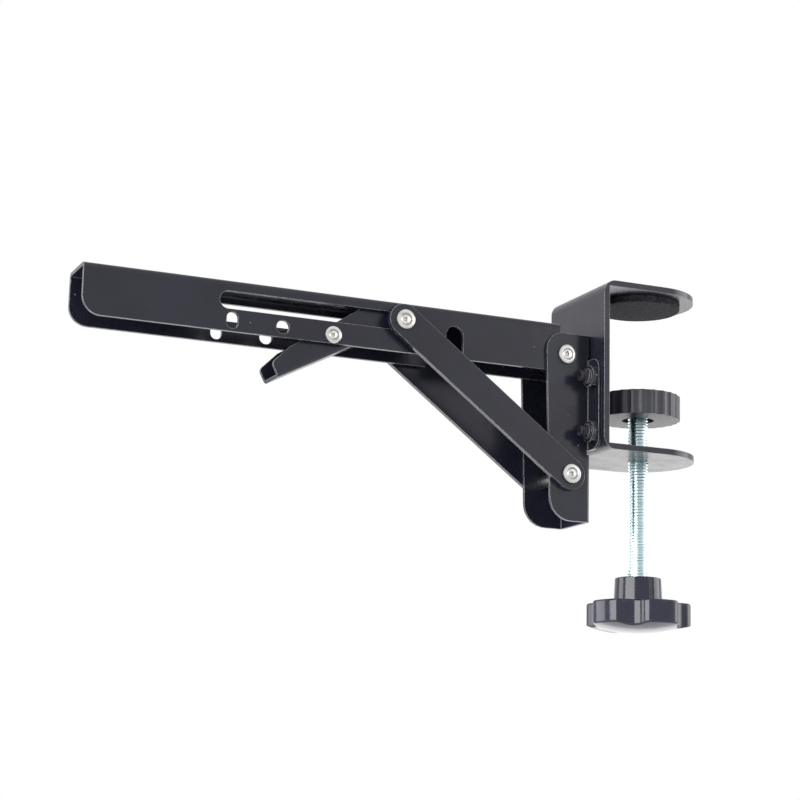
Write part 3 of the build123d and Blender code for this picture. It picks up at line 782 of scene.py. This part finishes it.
class BRACKET_OT_make_grip_pad(bpy.types.Operator):
    """Makes the foam grip pad, with a rounded edge and an uneven skin"""

    bl_idname = "bracket.make_grip_pad"
    bl_label = "Make the Grip Pad"

    def execute(self, context):
        look = context.scene.bracket_finish
        size = context.scene.bracket_sizes
        low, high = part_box("grip_pad")
        radius = (high.x - low.x) / 2
        rounding = size.foam_rounding
        flat = radius - rounding
        outline = [(flat * i / FOAM_RINGS, low.z) for i in range(FOAM_RINGS)]
        for i in range(FOAM_CORNER_STEPS + 1):
            angle = math.pi / 2 * i / FOAM_CORNER_STEPS
            outline.append(
                (flat + rounding * math.sin(angle), low.z + rounding * (1 - math.cos(angle)))
            )
        outline += [(radius, (low.z + high.z) / 2 + 0.2 * MM), (radius, high.z), (0, high.z)]
        shell = turned_shell(outline, FOAM_SIDES)
        bmesh.ops.recalc_face_normals(shell, faces=shell.faces)
        shell.normal_update()
        for vert in shell.verts:
            if vert.co.z < high.z - MM / 10:
                grain = noise.noise(vert.co / FOAM_LUMPS) * 0.5 + 0.5
                vert.co -= vert.normal * size.foam_grain * grain
        foam = grip_foam("grip_foam", look)
        pad = finished_piece([shell], "grip_pad_foam", foam, "grip_pad")
        return {"FINISHED"}


class BRACKET_OT_finish_hidden_steel(bpy.types.Operator):
    """Gives the slot bushes and the lever spring their oiled steel"""

    bl_idname = "bracket.finish_hidden_steel"
    bl_label = "Finish the Bushes and the Spring"

    def execute(self, context):
        look = context.scene.bracket_finish
        steel = look.oiled_steel
        bush = plated("bush_steel", steel, 0.36, tuple(c * 0.7 for c in steel), 0.3 * MM)
        wire = plated("spring_steel", steel, 0.32, tuple(c * 0.6 for c in steel), 0.25 * MM)
        dress_node("slot_bush_near", bush)
        dress_node("slot_bush_far", bush)
        dress_node("lever_spring", wire)
        return {"FINISHED"}


# Studio


def add_lamp(name, place, width, height, power):
    """A soft rectangular lamp that faces the middle of the bracket."""
    lamp = bpy.data.lights.new(name, "AREA")
    lamp.shape = "RECTANGLE"
    lamp.size = width
    lamp.size_y = height
    lamp.energy = power
    holder = bpy.data.objects.new(name, lamp)
    holder.location = place
    holder.rotation_mode = "QUATERNION"
    facing = Vector(STUDIO_MIDDLE) - Vector(place)
    holder.rotation_quaternion = facing.to_track_quat("-Z", "Y")
    bpy.context.scene.collection.objects.link(holder)


class BRACKET_OT_set_stage(bpy.types.Operator):
    """Lays the pale floor, hangs the soft lamps and places the camera"""

    bl_idname = "bracket.set_stage"
    bl_label = "Set the Stage"

    def execute(self, context):
        scene = context.scene
        stage = scene.bracket_stage
        scene.view_settings.view_transform = "Standard"

        bm = bmesh.new()
        bmesh.ops.create_grid(bm, x_segments=1, y_segments=1, size=stage.floor_size / 2)
        bmesh.ops.translate(bm, vec=(0, 0, stage.floor_height), verts=bm.verts)
        mesh = bpy.data.meshes.new("floor")
        bm.to_mesh(mesh)
        bm.free()
        floor_finish = Finish("floor_paint", stage.floor_colour, 0.8)
        grain = floor_finish.noise(40 * MM, 4.0)
        shade = tuple(c * 0.985 for c in stage.floor_colour)
        floor_finish.set("Base Color", floor_finish.mix(grain, stage.floor_colour, shade))
        mesh.materials.append(floor_finish.material)
        floor = bpy.data.objects.new("floor", mesh)
        scene.collection.objects.link(floor)

        world = bpy.data.worlds.new("studio")
        world.use_nodes = True
        scene.world = world
        tree = world.node_tree
        sky = tree.nodes["Background"]
        sky.inputs["Color"].default_value = (1, 1, 1, 1)
        sky.inputs["Strength"].default_value = stage.world_strength
        seen = tree.nodes.new("ShaderNodeBackground")
        seen.inputs["Color"].default_value = (1, 1, 1, 1)
        rays = tree.nodes.new("ShaderNodeLightPath").outputs
        direct_view = rays["Is Camera Ray"]
        for kind in ("Is Glossy Ray", "Is Transmission Ray"):
            larger = tree.nodes.new("ShaderNodeMath")
            larger.operation = "MAXIMUM"
            tree.links.new(direct_view, larger.inputs[0])
            tree.links.new(rays[kind], larger.inputs[1])
            direct_view = larger.outputs[0]
        either = tree.nodes.new("ShaderNodeMixShader")
        tree.links.new(direct_view, either.inputs[0])
        tree.links.new(sky.outputs[0], either.inputs[1])
        tree.links.new(seen.outputs[0], either.inputs[2])
        tree.links.new(either.outputs[0], tree.nodes["World Output"].inputs["Surface"])

        for name, settings in LAMPS.items():
            add_lamp(name, *settings)

        target = Vector(stage.camera_target)
        place = Vector(stage.camera_place)
        camera = bpy.data.cameras.new("camera")
        camera.sensor_width = 36
        camera.lens = stage.focal_length
        camera.clip_start = 0.01
        camera.clip_end = 100
        holder = bpy.data.objects.new("camera", camera)
        facing = (target - place).to_track_quat("-Z", "Y").to_matrix().to_4x4()
        roll = Matrix.Rotation(stage.camera_roll, 4, "Z")
        holder.matrix_world = Matrix.Translation(place) @ facing @ roll
        scene.collection.objects.link(holder)
        scene.camera = holder
        return {"FINISHED"}


class BRACKET_PT_sidebar(bpy.types.Panel):
    """Lists the steps and the values of the shelf bracket's looks"""

    bl_idname = "BRACKET_PT_sidebar"
    bl_label = "Shelf Bracket"
    bl_space_type = "VIEW_3D"
    bl_region_type = "UI"
    bl_category = "Shelf Bracket"

    def draw(self, context):
        layout = self.layout
        for operator in OPERATORS:
            layout.operator(operator.bl_idname)
        for group in ("bracket_finish", "bracket_sizes", "bracket_stage"):
            values = getattr(context.scene, group)
            box = layout.box()
            for name in values.bl_rna.properties.keys():
                if name not in ("rna_type", "name"):
                    box.prop(values, name)


OPERATORS = (
    BRACKET_OT_set_stage,
    BRACKET_OT_coat_steel,
    BRACKET_OT_turn_rivets,
    BRACKET_OT_cut_clamp_screw,
    BRACKET_OT_fit_ear_fasteners,
    BRACKET_OT_finish_plastics,
    BRACKET_OT_make_grip_pad,
    BRACKET_OT_finish_hidden_steel,
)
CLASSES = (BracketFinish, BracketSizes, BracketStage, *OPERATORS, BRACKET_PT_sidebar)


def register():
    for cls in CLASSES:
        bpy.utils.register_class(cls)
    bpy.types.Scene.bracket_finish = PointerProperty(type=BracketFinish)
    bpy.types.Scene.bracket_sizes = PointerProperty(type=BracketSizes)
    bpy.types.Scene.bracket_stage = PointerProperty(type=BracketStage)


def unregister():
    del bpy.types.Scene.bracket_stage
    del bpy.types.Scene.bracket_sizes
    del bpy.types.Scene.bracket_finish
    for cls in reversed(CLASSES):
        bpy.utils.unregister_class(cls)


def main():
    register()
    bpy.ops.bracket.set_stage()
    bpy.ops.bracket.coat_steel()
    bpy.ops.bracket.turn_rivets()
    bpy.ops.bracket.cut_clamp_screw()
    bpy.ops.bracket.fit_ear_fasteners()
    bpy.ops.bracket.finish_plastics()
    bpy.ops.bracket.make_grip_pad()
    bpy.ops.bracket.finish_hidden_steel()


if __name__ == "__main__":
    main()
